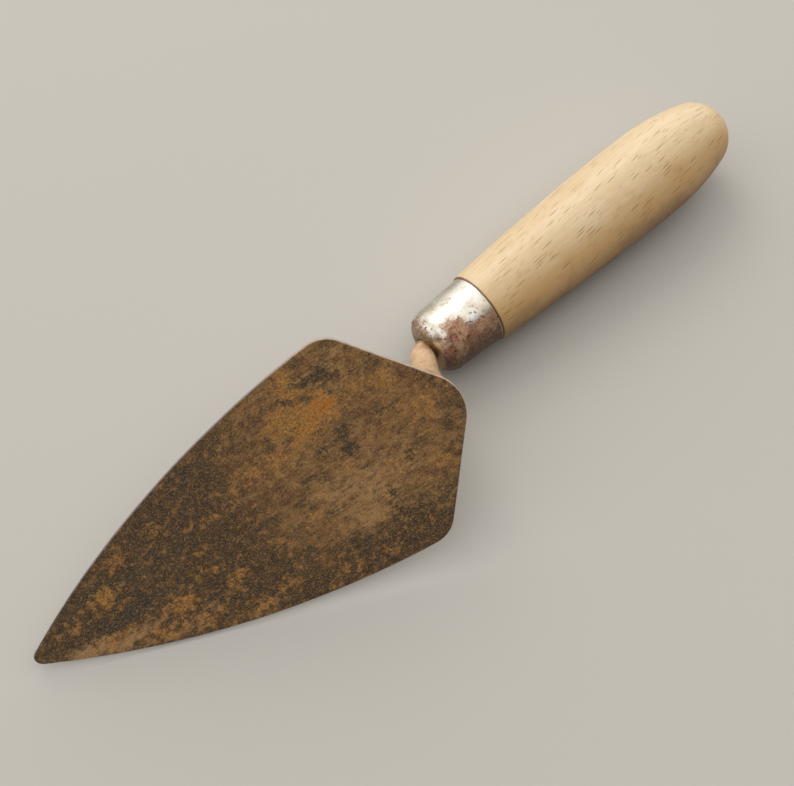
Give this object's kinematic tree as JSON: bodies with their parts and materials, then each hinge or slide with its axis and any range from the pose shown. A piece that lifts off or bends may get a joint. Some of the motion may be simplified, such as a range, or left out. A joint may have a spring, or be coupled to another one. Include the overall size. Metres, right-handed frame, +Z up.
{
  "type": "pointing trowel",
  "caption": "Hand trowel with a flat kite-shaped steel blade, a short cranked neck, a cup-shaped metal ferrule and a bellied wooden handle.",
  "frame": {"origin": "middle of the footprint on the floor the tool lies on (bottom centre of the bounding box)", "axes": "+X along the tool towards the blade's tip, +Z up from the floor, +Y across; the blade's working face looks up and towards +Y"},
  "size_m": [0.2818, 0.0653, 0.0593],
  "materials": {
    "blade_steel": "matte",
    "shank_steel": "matte",
    "ferrule_plated": "satin",
    "handle_wood": "matte"
  },
  "bodies": {
    "root": {"blade": "blade_steel", "shank": "shank_steel", "ferrule": "ferrule_plated", "handle": "handle_wood"}
  },
  "joints": []
}
